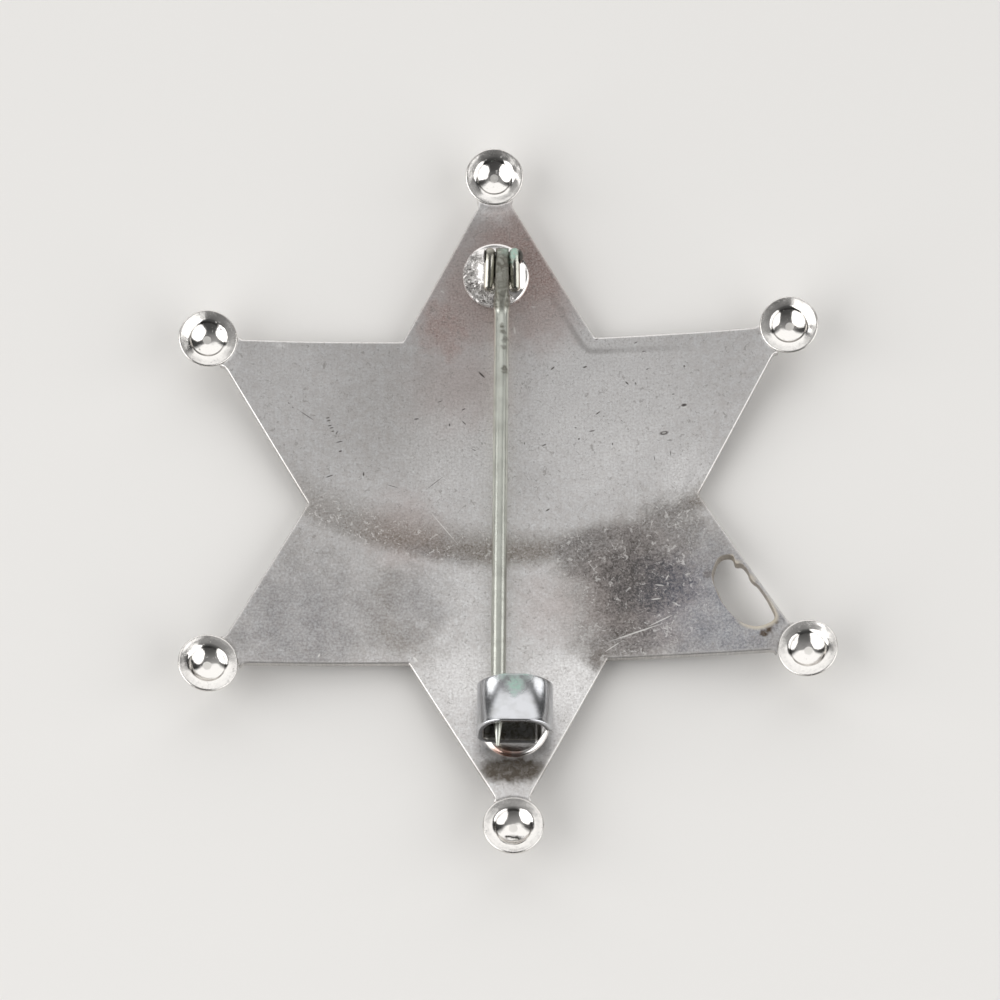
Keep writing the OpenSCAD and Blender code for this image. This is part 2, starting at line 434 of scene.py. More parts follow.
def star_sheet():
    """The struck sheet: rings that are scaled copies of the outline, out across the front, round the edge
    and back in over the back. Round the hole a block of both faces gives way to rings that run from its
    border in to the hole, down the hole's wall and out again. The attributes are the distances from the
    outline and from the hole."""
    outline, first, last = star_outline()
    inset, depth = half_rings()
    inset = there_and_back(inset)
    depth = np.concatenate([SHEET_T - depth, depth[::-1]]) / SHEET_T
    plan = (1 - inset / EDGE_REACH)[:, None, None] * outline[None]
    rings, around = plan.shape[:2]
    index = np.arange(rings * around).reshape(rings, around)
    faces = ring_faces(index)

    # The block round the hole, and its border as pairs of ring and point
    inner, outer = FAR_RINGS - 1, FAR_RINGS + NEAR_RINGS
    keep = np.ones(faces.shape[:2], bool)
    keep[inner:outer, first:last] = False
    keep[rings - 1 - outer:rings - 1 - inner, first:last] = False
    out_and_in = np.concatenate([np.full(last - first, outer), np.arange(outer, inner, -1),
                                 np.full(last - first, inner), np.arange(inner, outer)])
    side = np.concatenate([np.arange(first, last), np.full(outer - inner, last),
                           np.arange(last, first, -1), np.full(outer - inner, first)])
    hole_centre = beside_edge(HOLE_MIDDLE)
    border = plan[out_and_in, side] - hole_centre
    angle, border_reach = np.arctan2(border[:, 1], border[:, 0]), np.hypot(border[:, 0], border[:, 1])

    # Rings of the hole: share of the way out to the border, inset of the rounded rim, and depth
    round_a = np.linspace(0, math.pi / 2, 4)
    share = np.array([0.8, 0.6, 0.42, 0.28, 0.18, 0.1, 0.04])
    shares = there_and_back(np.concatenate([share, 0 * round_a]))
    steps = there_and_back(np.concatenate([HOLE_ROUND + 0 * share, HOLE_ROUND * (1 - np.sin(round_a))]))
    deeper = np.concatenate([0 * share, HOLE_ROUND * (1 - np.cos(round_a))]) / SHEET_T
    deeper = np.concatenate([deeper, 1 - deeper[::-1]])
    slant = HOLE_SLANT * np.maximum(np.cos(angle - math.radians(HOLE_SLANT_WAY)), 0)
    edge = hole_reach(angle)[None] - deeper[:, None] * slant[None]
    room = np.minimum(1, 0.5 * (border_reach - edge) / HOLE_ROUND)
    reach = edge + steps[:, None] * room
    reach = reach + shares[:, None] * (border_reach - reach)
    hole_plan = hole_centre + reach[..., None] * columns(np.cos(angle), np.sin(angle))[None]
    hole_index = rings * around + np.arange(reach.size).reshape(reach.shape)
    back_border = index[rings - 1 - out_and_in, side]
    front_border = index[out_and_in, side]
    hole_faces = ring_faces(np.concatenate([[back_border], hole_index, [front_border]]))

    flat = np.concatenate([plan.reshape(-1, 2), hole_plan.reshape(-1, 2), [[0, 0], [0, 0]]])
    depths = np.concatenate([np.repeat(depth, around), np.repeat(deeper, len(angle)), [1, 0]])
    from_edge = edge_distance(*flat.T)
    from_hole = flat - hole_centre
    from_hole = np.hypot(*from_hole.T) - hole_reach(np.arctan2(from_hole[:, 1], from_hole[:, 0]))
    flat = widen_necks(flat)
    points = np.column_stack([flat, sheet_height(*flat.T, depths)])
    front_middle, back_middle = len(points) - 2, len(points) - 1
    fans = [[front_middle, b, a] for a, b in zip(index[0], np.roll(index[0], -1))]
    fans += [[back_middle, a, b] for a, b in zip(index[-1], np.roll(index[-1], -1))]
    quads = np.concatenate([faces[keep], hole_faces.reshape(-1, 4)])
    return (points, quads.tolist() + fans), {"edge": from_edge, "hole": from_hole}


# Round, slab and strip shapes

def revolved(profile, around):
    """Rings of a profile of radius and height, carried round the z axis."""
    a = np.linspace(0, 2 * math.pi, around, endpoint=False)
    radius, height = np.asarray(profile, float).T[..., None]
    return columns(radius * np.cos(a), radius * np.sin(a), height)


def rounded_polygon(corners, steps=6):
    """Points and outward normals round a convex polygon given counter-clockwise as x, y and corner radius:
    each corner is an arc that touches both of its sides."""
    p = np.array([corner[:2] for corner in corners], float)
    points, normals = [], []
    for before, here, after, (_, _, radius) in zip(np.roll(p, 1, 0), p, np.roll(p, -1, 0), corners):
        come, go = (here - before) / math.dist(here, before), (after - here) / math.dist(after, here)
        turn = math.atan2(come[0] * go[1] - come[1] * go[0], come @ go)
        a = math.atan2(come[1], come[0]) - math.pi / 2 + np.linspace(0, turn, steps)
        normal = columns(np.cos(a), np.sin(a))
        middle = here - come * radius * math.tan(turn / 2) - normal[0] * radius
        points.append(middle + radius * normal)
        normals.append(normal)
    return np.concatenate(points), np.concatenate(normals)


def slab(outline, half, radius):
    """Rings of a flat plate with rounded edges: the outline pulled in along its normals by
    radius (1 - sin a), at height half - radius + radius cos a, on both faces."""
    points, normals = outline
    a = np.linspace(0, math.pi / 2, 6)
    inset = there_and_back(np.concatenate([[radius + 0.05], radius * (1 - np.sin(a))]))
    height = np.concatenate([[-half], -half + radius * (1 - np.cos(a))])
    height = np.concatenate([height, -height[::-1]])
    x, y = np.moveaxis(points - inset[:, None, None] * normals, -1, 0)
    return columns(x, y, height[:, None])


def ball_profile():
    """Half the section of a ball tip: the ball, its rounded edge, the sloping rim, a rounded lip, a short
    steep step, a spherical cup and a small flat at its bottom."""
    tilt = math.radians(RIM_SLOPE)
    edge = arc((BALL_R - RIM_ROUND, -RIM_ROUND), RIM_ROUND, 0, 90 + RIM_SLOPE, 9)
    rim = np.linspace(BALL_R - 0.22, LIP_R + 0.03, 14)
    rim = columns(rim, edge[-1, 1] - (edge[-1, 0] - rim) * math.tan(tilt))
    lip_z = edge[-1, 1] - (edge[-1, 0] - LIP_R) * math.tan(tilt)
    lip_middle = (LIP_R + LIP_ROUND * math.sin(tilt), lip_z - LIP_ROUND * math.cos(tilt))
    lip = arc(lip_middle, LIP_ROUND, 90 + RIM_SLOPE, 90 + STEP_SLOPE, 6)
    step = np.linspace(lip[-1, 0], CUP_MOUTH_R + 0.03, 5)[1:]
    step = columns(step, lip[-1, 1] - (lip[-1, 0] - step) * math.tan(math.radians(STEP_SLOPE)))
    cup_z = step[-1, 1] - 0.03 + math.sqrt(CUP_R ** 2 - CUP_MOUTH_R ** 2)
    rho = np.concatenate([np.linspace(CUP_MOUTH_R, CUP_FLAT_R + 0.1, 26),
                          CUP_FLAT_R * np.array([1.15, 1, 0.9, 0.6, 0.2])])
    cup = columns(rho, cup_z - np.sqrt(CUP_R ** 2 - np.maximum(rho, CUP_FLAT_R) ** 2))
    ball = arc((0, BALL_MIDDLE_Z), BALL_R, -89, -11, BALL_STEPS)
    return np.concatenate([ball, edge, rim, lip, step, cup])


def ball_tips():
    """The six ball tips. Each cup and rim is a little out of round: its height varies by a few hundredths
    as (radius / rim)^2 cos 2(angle - own turn), and by shallow dents. The attribute is the distance from
    the ball's axis behind, and a negative one on the ball itself and the start of its rounded edge."""
    profile, made, from_axis = ball_profile(), [], []
    uneven = np.random.default_rng(7).uniform(-1, 1, (6, 2))
    behind = np.where(np.arange(len(profile)) < BALL_STEPS + 2, -1, 1)[:, None]
    for tip, (angle, (turn, size)) in enumerate(zip(TIP_ANGLES, uneven)):
        rings = revolved(profile, 96)
        x, y = rings[..., 0], rings[..., 1]
        rho = np.hypot(x, y)
        inside = unit((BALL_R - 0.1 - rho) / 0.3) * (behind > 0)
        wave = np.cos(2 * (np.arctan2(y, x) - 3 * turn)) * (rho / BALL_R) ** 2
        dents = 0.02 * grain(x, y, 0.8, 20 + tip) + 0.006 * grain(x, y, 0.35, 30 + tip)
        rings[..., 2] += inside * (0.02 * (1 + 0.5 * size) * wave + dents)
        made.append(skin(turned(on_dish(rings, TIP_REACH), angle - 90)))
        from_axis.append(np.append(rho * behind, [-0.01, 0.01]))
    return joined(made), {"from_axis": np.concatenate(from_axis)}


def patch(shift, round_r, height):
    """A soldered patch: a round slab with a soft edge, whose top rises and falls as the given height of
    x and y says, eased to nothing at the edge."""
    edge = arc((PATCH_R - round_r, PATCH_H - round_r), round_r, 0, 90, 9)
    foot = [(0.5, -PATCH_SINK), (PATCH_R - 0.2, -PATCH_SINK), (PATCH_R, 0.05 - PATCH_SINK)]
    top = columns(np.linspace(PATCH_R - round_r - 0.05, 0.05, 34), PATCH_H)
    rings = revolved(np.concatenate([foot, edge, top]), 128)
    rings[..., :2] *= 1 + 0.012 * grain(rings[..., :1], rings[..., 1:2], 2.3, 11)
    fade = unit((PATCH_R - np.hypot(rings[..., 0], rings[..., 1])) / 0.45)
    rings[..., :2] += shift
    x, y, z = np.moveaxis(rings, -1, 0)
    rings[..., 2] += fade * unit(z / PATCH_H) ** 2 * height(x, y)
    return rings


def hinge_solder(x, y):
    """Height of the solder round the hinge's foot, falling off as exp(-(distance / creep)^2) from its
    sides, wider at the left and lower at the south end, and of the rough crust at the left."""
    left = unit(-x)
    sideways = np.maximum(np.abs(x) - HINGE_FOOT[0], 0) / (1 + 0.65 * left)
    out = np.hypot(sideways, np.maximum(np.abs(y + 0.1) - HINGE_FOOT[1], 0))
    rough = unit(-0.7 * x - 0.6 * y - 0.1) * unit(out / 0.4 - 0.9)
    crust = 0.07 * grain(x, y, 0.3, 12) + 0.04 * grain(x, y, 0.15, 13)
    fillet = (0.36 + 0.1 * left) * np.exp(-(out / HINGE_CREEP) ** 2) * np.clip((y + 1.9) / 0.8, 0.25, 1)
    return fillet + rough * crust + 0.03 * grain(x, y, 1.2, 14)


def catch_solder(x, y):
    """Height of the solder round the catch's foot."""
    sideways = np.maximum(np.abs(x - CATCH_SHIFT) - CATCH_FOOT[0], 0)
    out = np.hypot(sideways, np.maximum(np.abs(y) - CATCH_FOOT[1], 0))
    return 0.12 * np.exp(-(out / CATCH_CREEP) ** 2) + 0.02 * grain(x, y, 1.1, 15)


def ear_outline():
    """Side view of an ear: a low round foot at the south, a straight climb, and a round top over the
    rivet. Its lower side is sunk in the solder."""
    reach = math.hypot(RIVET_Y - EAR_FOOT_Y, RIVET_H - EAR_FOOT_Z)
    climb = math.atan2(RIVET_H - EAR_FOOT_Z, RIVET_Y - EAR_FOOT_Y) + math.asin(EAR_TOP_R / reach)
    north = RIVET_Y + EAR_TOP_R
    peak = EAR_FOOT_Z + (north - EAR_FOOT_Y) * math.tan(climb)
    return rounded_polygon([(EAR_FOOT_Y, -EAR_SINK, 0.55), (north, -EAR_SINK, 0.55), (north, peak, EAR_TOP_R),
                            (EAR_FOOT_Y, EAR_FOOT_Z, 0.6)], 11)


def hinge_ears():
    """The two ears, thicker towards the south, on their base."""
    made = []
    for side in (-1, 1):
        y, z, across = np.moveaxis(slab(ear_outline(), 0.5, EAR_ROUND), -1, 0)
        south = unit((RIVET_Y - y) / (RIVET_Y - EAR_FOOT_Y))
        thick = EAR_NORTH_T + (EAR_SOUTH_T - EAR_NORTH_T) * south
        x = side * (EAR_GAP / 2 + (across + 0.5) * thick)
        ear = columns(x, y, z + PATCH_H + 0.015 * grain(y, z + 9 * side, 0.7, 41))
        made.append(ear[::side])
    wide, near, far = EAR_GAP / 2 + EAR_NORTH_T - 0.1, EAR_FOOT_Y + 0.2, RIVET_Y + 0.6
    corners = [(x, y, 0.3) for x, y in [(-wide, near), (wide, near), (wide, far), (-wide, far)]]
    base = slab(rounded_polygon(corners), BASE_T / 2, 0.08)
    base[..., 2] += PATCH_H + BASE_T / 2
    made.append(base)
    return joined([skin(on_pin_line(on_dish(rings, HINGE_Y))) for rings in made])


def rivet():
    """The rivet's shank across both ears, with a low domed head on each side, the left one flatter."""
    ball = (RIVET_HEAD_R ** 2 + RIVET_HEAD_H ** 2) / (2 * RIVET_HEAD_H)
    rim = math.degrees(math.asin(RIVET_HEAD_R / ball))
    face = EAR_GAP / 2 + EAR_NORTH_T - 0.03
    dome = arc((face + RIVET_HEAD_H - ball, 0), ball, rim, 2, 10)
    shank = [(face - 0.3, RIVET_R), (face, RIVET_R + 0.02), (face, RIVET_HEAD_R - 0.04)]
    right = np.concatenate([shank, dome])
    left = right * (-1, 1)
    left[len(shank):, 0] = -face + LEFT_HEAD * (left[len(shank):, 0] + face)
    rings = revolved(np.concatenate([left[::-1], right])[:, ::-1], 48)
    across = rings[..., [2, 0, 1]] + (0, RIVET_Y, PATCH_H + RIVET_H)
    return skin(on_pin_line(on_dish(across, HINGE_Y)))


def catch_path():
    """Middle line of the catch's strip across the pin, from the floor's free end round the closed side and
    over the hood to the free lip: points and outward normals."""
    half, middle = CATCH_W / 2, CATCH_T / 2
    low, high, hood_z = CATCH_BASE_R - middle, CATCH_TOP_R - middle, CATCH_H - CATCH_TOP_R
    bends = [((CATCH_BASE_R - half, CATCH_BASE_R), low, 270, 180, 10),
             ((CATCH_TOP_R - half, hood_z), high, 180, 90, 18),
             ((half - CATCH_TOP_R, hood_z), high, 90, 0, 18)]
    parts = [np.concatenate([arc(*bend), arc((0, 0), 1, *bend[2:])], -1) for bend in bends]
    floor = columns(np.linspace(CATCH_FLOOR_X, -half + CATCH_BASE_R, 14)[:-1], middle, 0, -1)
    lip = columns(half - middle, np.linspace(hood_z, CATCH_LIP_Z, 16)[1:], 1, 0)
    return densified(np.concatenate([floor, *parts, lip]))


def densified(line):
    """The line's rows at even steps of about 0.2 along it, and closer at its two ends."""
    step = np.hypot(*np.diff(line[:, :2], axis=0).T)
    at = np.concatenate([[0], np.cumsum(step)])
    length = at[-1]
    end = np.array([0, 0.02, 0.06, 0.12, 0.2])
    along = np.concatenate([end, np.linspace(0.35, length - 0.35, 70), length - end[::-1]])
    rows = np.stack([np.interp(along, at, column) for column in line.T], -1)
    rows[:, 2:] /= np.hypot(*rows[:, 2:].T)[:, None]
    return rows, along, length - along


def catch_strip():
    """The catch: a rounded bar section carried along the strip's path. Its south edge leans back with
    height and is arched over the hood, the hood dips between its edges, and the lip's corners are round.
    The attribute is the share of the way from the outer to the inner side."""
    rows, from_floor, from_lip = catch_path()
    half_t, straight = CATCH_T / 2, 1 - STRIP_ROUND
    corners = [(x, z, STRIP_ROUND) for x, z in [(-1, -half_t), (1, -half_t), (1, half_t), (-1, half_t)]]
    edge = rounded_polygon(corners, 5)[0]
    below = columns(np.linspace(-straight, straight, 14)[1:-1], -half_t)
    loop = np.concatenate([edge[:5], below, edge[5:15], below[::-1] * (1, -1), edge[15:]])
    x, z, nx, nz = rows.T[..., None]
    hood = unit((z - CATCH_H + CATCH_TOP_R) / (CATCH_TOP_R - half_t))
    arch = 1 - (x / (CATCH_W / 2)) ** 2
    corner = LIP_CORNER_R * (1 - np.sqrt(1 - unit(1 - from_lip[:, None] / LIP_CORNER_R) ** 2))
    south = -CATCH_SOUTH + CATCH_LEAN * z / CATCH_H + HOOD_ARCH * hood * arch + corner
    north = CATCH_NORTH - 0.4 * (1 - arch) * hood - 0.7 * corner
    end = unit(np.minimum(from_floor, from_lip)[:, None] / STRIP_ROUND)
    end = 0.15 + 0.85 * np.sqrt(1 - (1 - end) ** 2)
    u, off = loop[None, :, 0], loop[None, :, 1] * end
    mid, half = (south + north) / 2, (north - south) / 2
    y = mid + (half - STRIP_ROUND) * np.clip(u, -straight, straight) / straight
    y = y + np.sign(u) * unit(np.abs(u) - straight)
    y = mid + (y - mid) * (1 - 0.1 * (1 - end))
    dip = HOOD_DIP * hood * (1 - ((y - mid) / half) ** 2)
    points = columns(x + nx * off + CATCH_SHIFT, y, z + nz * off - dip + PATCH_H)
    inside = np.tile(0.5 - loop[:, 1] / CATCH_T, len(rows))
    return skin(on_pin_line(on_dish(points, -CATCH_Y))), {"inside": np.append(inside, (0.5, 0.5))}


def pin():
    """The pin from its flattened eye to its point: at each distance from the rivet a closed curve with
    x = half width |cos a|^power and z = radius |sin a|^power, square between the ears and round beyond."""
    pivot = on_dish((0, RIVET_Y, PATCH_H + RIVET_H), HINGE_Y)
    held = on_dish((0, 0, PIN_IN_CATCH_Z), -CATCH_Y)
    rise = math.atan2(held[2] - pivot[2], pivot[1] - held[1])
    eye = arc((0, 0), EYE_R, 178, 92, 12)
    shoulder_end = HEAD_LEN + SHOULDER_LEN
    wire_end = PIN_LEN - POINT_LEN - EASED_LEN
    knots = np.concatenate([eye, [
        (0.1, EYE_R), (HEAD_LEN, HEAD_R), (HEAD_LEN + 0.5, SHOULDER_R), (shoulder_end, SHOULDER_R),
        (shoulder_end + SHOULDER_TAPER, WIRE_R), (wire_end, WIRE_R), (PIN_LEN - POINT_LEN, EASED_R),
        (PIN_LEN - 0.1, POINT_R + 0.02), (PIN_LEN - 0.03, 0.7 * POINT_R), (PIN_LEN, 0.02),
    ]])
    at = np.unique(np.round(np.concatenate([knots[:, 0], np.linspace(0.2, PIN_LEN - 0.2, 120)]), 4))
    radius = np.interp(at, knots[:, 0], knots[:, 1])[:, None]
    flat = EAR_GAP / 2 - PIN_GAP
    roundness = ease(np.interp(at, (HEAD_LEN - 0.9, HEAD_LEN + 0.9), (0, 1)))[:, None]
    half_w = flat + (np.maximum(radius, flat * (1 - roundness)) - flat) * roundness
    power = EYE_POWER + (1 - EYE_POWER) * roundness
    a = np.linspace(0, 2 * math.pi, 48, endpoint=False)[None]
    x = half_w * np.sign(np.cos(a)) * np.abs(np.cos(a)) ** power
    up = radius * np.sign(np.sin(a)) * np.abs(np.sin(a)) ** power
    at = at[:, None]
    y = pivot[1] - at * math.cos(rise) + up * math.sin(rise)
    z = pivot[2] + at * math.sin(rise) + up * math.cos(rise)
    return skin(on_pin_line(columns(x, y, z)))


# Materials. Colours are those of the metal itself, except the painted light and shade named where it is
# laid; patterns are worked out from the object's own millimetres.

# The setting that is a node's mode, and the sockets of its inputs where they aren't simply the first ones
MODES = {"Math": "operation", "VectorMath": "operation", "MapRange": "interpolation_type",
         "Mix": "data_type", "Mapping": "vector_type", "Attribute": "attribute_name"}
SOCKETS = {"TexNoise": ["Vector", "Scale", "Detail", "Roughness", "Distortion"],
           "Mix": [0, 6, 7], "Bump": ["Strength", "Distance", "Height"]}


def adder(tree):
    """The function that adds nodes to this tree."""
    def add(kind, inputs, out=0, **settings):
        """Adds a shader node with its settings; its kind may be followed by its mode, as in "Math ADD".
        The inputs are values or the outputs of other nodes. Gives back one output."""
        kind, *mode = kind.split()
        if mode:
            settings[MODES[kind]] = mode[0]
        made = tree.nodes.new("ShaderNode" + kind)
        for key, value in settings.items():
            setattr(made, key, value)
        for key, value in zip(SOCKETS.get(kind, range(len(inputs))), inputs):
            if isinstance(value, bpy.types.NodeSocket):
                tree.links.new(value, made.inputs[key])
            else:
                made.inputs[key].default_value = value
        return made.outputs[out]
    return add


def metal(name, colour, roughness):
    """A new metal, with what adds its nodes, its shader and the place on the object in millimetres."""
    made = bpy.data.materials.new(name)
    made.use_nodes = True
    shader = made.node_tree.nodes["Principled BSDF"]
    shader.inputs["Metallic"].default_value = 1
    shader.inputs["Base Color"].default_value = linear(colour)
    shader.inputs["Roughness"].default_value = roughness
    add = adder(made.node_tree)
    place = add("VectorMath MULTIPLY", [add("TexCoord", [], "Object"), (1 / MM, 1 / MM, 1 / MM)])
    return made, add, shader, place


def finished(add, shader, inputs, relief, depth):
    """Links a metal's inputs and its relief: the sum of its parts, each times its share, whose full step
    is this deep in millimetres."""
    height = 0
    for part, share in relief:
        height = add("Math MULTIPLY_ADD", [part, share, height])
    inputs["Normal"] = add("Bump", [1, depth * MM, height])
    for key, value in inputs.items():
        shader.id_data.links.new(value, shader.inputs[key])


def layered(add, colour, layers):
    """The colour with tints laid over it one after another, each by its share or by its share times a
    further value."""
    for share, tint, *times in layers:
        if times:
            share = add("Math MULTIPLY", [share, *times])
        tint = linear(tint) if isinstance(tint, str) else tint
        colour = add("Mix RGBA", [share, colour, tint], 2)
    return colour


def beside(add, value, middle, near, gone, most, kind="MapRange"):
    """How near a value is to a middle one: the most where it is within near of it, nothing past gone."""
    off = add("Math ABSOLUTE", [add("Math SUBTRACT", [value, middle])])
    return add(kind, [off, near, gone, most, 0])


def drift(add, place, scale, amount):
    """The place shifted sideways by smooth noise, by up to about half the amount in millimetres, and
    pressed flat so that what is drawn on it goes straight through the metal."""
    shift = add("TexNoise", [place, scale, 4, 0.65], 1)
    shift = add("VectorMath SUBTRACT", [shift, (0.5, 0.5, 0.5)])
    moved = add("VectorMath MULTIPLY_ADD", [shift, (amount, amount, 0), place])
    return add("VectorMath MULTIPLY", [moved, (1, 1, 0)])


def hair_lines(add, place, size, seed):
    """Where fine curved scratches lie, from 0 to 1: the middle contour of a smooth noise, about 0.1 mm
    wide, cut into short strokes where a second noise is low."""
    moved = add("VectorMath ADD", [place, (7.3 * seed, 3.1 * seed, 0)])
    line = beside(add, add("TexNoise", [moved, 1 / size, 0.6]), 0.5, 0.008, 0.024, 1)
    shown = add("MapRange", [add("TexNoise", [moved, 2.1 / size, 1]), 0.54, 0.6, 0, 1])
    return add("Math MULTIPLY", [line, shown])


def spot_mask(add, moved, spots):
    """How much of several round spots with soft edges lies at a place, from 0 to 1: the strongest of them,
    given as x, y, radius, softness and strength."""
    strongest = 0
    for x, y, radius, soft, strength in spots:
        near = add("VectorMath DISTANCE", [moved, (x, y, 0)], "Value")
        near = add("MapRange SMOOTHSTEP", [near, radius - soft, radius + soft, strength, 0])
        strongest = add("Math MAXIMUM", [strongest, near])
    return strongest


def marks(add, plan, table, inner=0.5, outer=1.15):
    """Where the ovals of a table lie, from 0 to 1: for each, an oval of its half length and half width,
    turned its way, full up to a share of its size and gone at another. The tables hold nicks and scribed
    marks, pale marks, and the catch's painted reflection."""
    nearest = 9
    for x, y, half_l, half_w, turn in table:
        own = add("Mapping TEXTURE", [plan, (x, y, 0), (0, 0, math.radians(turn)), (half_l, half_w, 1)])
        near = add("VectorMath LENGTH", [own], "Value")
        nearest = add("Math MINIMUM", [nearest, near])
    return add("MapRange SMOOTHSTEP", [nearest, inner, outer, 1, 0])


# Spots: x, y, radius, softness and strength.
# Darker patches of the plate: the left, the tip by the hinge and the two lower wings
DIM_SPOTS = [
    (0.5, 21.5, 6.2, 2.2, 0.08), (-9, 8, 6, 5, 0.15),
    (-19, -12, 8, 6, 0.44), (-10.2, -10.5, 4.6, 3.2, 0.45), (19.5, -11, 8, 4.5, 0.54),
]
# Where that darkening is bluish
COOL_SPOTS = [(20, -11, 6, 4, 1), (-19, -11, 7, 5, 0.6), (-7, -9, 4, 3, 0.5)]
# Cleaner plate
CLEAN_SPOTS = [
    (9, 9.5, 8, 5, 0.75), (-4, 5.5, 4, 3, 0.9), (17, 1.6, 2.6, 1.6, 0.9),
    (5.5, -18.5, 3.6, 2.4, 1), (-4, -17, 3.4, 2.4, 0.8), (-3.8, -9.5, 2.6, 2, 0.3),
    (-21, 12, 5, 4, 0.3), (0.3, 28.4, 2.4, 0.5, 1),
]
# Dark mottled tarnish at the lower right
GREY_SPOTS = [
    (12.2, -8, 5.8, 4.2, 0.95), (14.5, -4.2, 4, 1.6, 0.62), (8.2, -5, 3.6, 2.2, 0.75),
    (10.8, -12.6, 4.2, 2.8, 0.8), (16.5, -8.6, 4.4, 3, 0.5), (8.6, -15, 2, 1.2, 0.6),
    (19.5, -11, 3.6, 3, 0.3),
]
# Pinkish brown round the hinge and low on the right
PINK_SPOTS = [
    (2.5, 22.5, 5, 3.2, 0.8), (-1.5, 19.5, 4.5, 3.2, 0.6), (3.8, 18, 3.2, 2.6, 0.5),
    (4.2, -10.2, 2.6, 2.2, 0.2), (-9, -2.6, 3, 2.4, 0.3), (-3.5, 11.5, 4, 3.5, 0.3),
    (12, -9, 5, 3, 0.35), (-4.6, 17, 2.6, 2, 0.75),
]
# Brown residue in the lower notch, and in the first three spots a brown crescent of painted shadow along
# the lip at the south-east end of the hole
BROWN_SPOTS = [
    (23.95, -12.75, 0.25, 0.2, 0.8), (23.4, -13.4, 0.35, 0.25, 0.9), (22.95, -13.75, 0.3, 0.2, 0.9),
    (18.3, -7.8, 0.4, 0.3, 0.4), (8.4, -15.2, 0.9, 0.6, 0.4),
]
# Dull cream residue at the two tabs and the lower end of the hole
RESIDUE_SPOTS = [(22.8, -12.4, 1.9, 0.9, 1), (20.9, -6.5, 0.5, 0.3, 0.9), (22.2, -8.4, 0.4, 0.3, 0.8)]
# The painted dark reflection of the catch on the plate below it, and the faint painted shade of the struck
# border line
SHADE = [(0.1, -25.65, 3.7, 1.4, 0)]
GHOST_SPOTS = [(5.4, 18.4, 1.6, 1.2, 0.4), (7.6, 14.2, 2.8, 1.8, 0.7), (12.5, 14, 4, 2.4, 0.4),
               (17.5, -1, 3, 2, 0.4)]
# The smoky arc lies on a circle round a point above the upper tip
ARC_Y = 32.3
ARC_R = 37.4
# Nicks and scribed marks on the back: x, y, half length, half width, direction
MARKS = [
    (16.84, 8.5, 0.3, 0.15, 6), (14.91, 5.94, 0.46, 0.21, 8), (-1.65, 12.15, 0.46, 0.1, -46),
    (-15.88, 8.11, 0.2, 0.06, 15), (-15.82, 7.84, 0.2, 0.06, 15), (-15.7, 7.38, 0.2, 0.06, 15),
    (-15.55, 7.16, 0.22, 0.06, 12), (-15.44, 6.84, 0.16, 0.06, 10), (-15.08, 6.7, 0.05, 0.2, -30),
    (-14.85, 5.84, 0.36, 0.06, 12), (-14.78, 4.94, 0.18, 0.08, 15), (-12.7, 2.76, 0.08, 0.22, 0),
    (-19.42, 9.46, 0.1, 0.05, -40), (-19.06, 9.06, 0.1, 0.05, -40), (-15.8, 2.55, 0.42, 0.06, 20),
    (-7.76, 8.03, 0.26, 0.07, 5), (-4.74, 7.43, 0.08, 0.16, 0), (-3.4, 7.6, 0.28, 0.06, -45),
    (4.9, 12.6, 0.26, 0.08, 40), (4.03, -0.94, 0.24, 0.08, 30),
    (3.9, 5.3, 0.26, 0.06, 25), (2.1, 5.5, 0.06, 0.12, 0), (15.9, 9.6, 0.14, 0.05, 0),
    (17, 12.2, 0.1, 0.1, 0), (-17.8, 8.3, 0.85, 0.04, -34), (-10.05, 1.6, 0.6, 0.03, -18),
    (-6.2, 1.9, 1.1, 0.03, 38), (8.94, 8.17, 0.28, 0.07, 35), (8.33, 6.47, 0.3, 0.06, 8),
    (11.7, 10.9, 0.24, 0.08, -45), (7.11, 5.76, 0.12, 0.08, 60), (7.89, 12.61, 0.24, 0.08, 20),
    (-2.55, 4.99, 0.2, 0.05, -20), (-3.42, 8.89, 0.2, 0.06, 30), (-5.56, 9.68, 0.26, 0.04, 20),
    (10.16, 5.14, 0.06, 0.14, -15), (12.5, 10.82, 0.06, 0.14, 10), (15.41, 5.23, 0.24, 0.04, 0),
    (13.93, 3.6, 0.04, 0.26, 5), (15.43, 3.96, 0.04, 0.3, 0), (13.62, 12.13, 0.16, 0.05, 30),
    (9.47, 7.84, 0.06, 0.06, 0), (11.09, 7.33, 0.14, 0.04, -40), (13.37, 13.83, 0.22, 0.04, 5),
    (12.64, 14.7, 0.2, 0.05, 25), (9.08, 15.21, 0.2, 0.06, 15), (6.83, 6.85, 0.12, 0.05, 0),
]
# Long pale scratches, and painted highlights beside some nicks, in the same form
PALE_MARKS = [
    (-5.5, -2.4, 2.1, 0.05, -52), (11.6, -13, 2.6, 0.08, 17), (13.8, -12, 1.4, 0.06, 24),
    (9.4, -14.3, 1, 0.05, 32), (-16.9, -14.6, 0.2, 0.1, 60), (-8.3, -15, 0.35, 0.13, -50),
    (13.5, -9.9, 0.5, 0.08, 5), (13.9, -8.6, 0.45, 0.07, -10), (14.6, -7.9, 0.35, 0.07, 60),
    (14.91, 5.96, 0.24, 0.09, 8), (16.9, 8.28, 0.26, 0.09, 8), (3.3, 18.5, 0.3, 0.06, -5),
    (1.5, 16.3, 0.1, 0.4, 10), (-5.1, 20.1, 0.25, 0.06, -35),
]


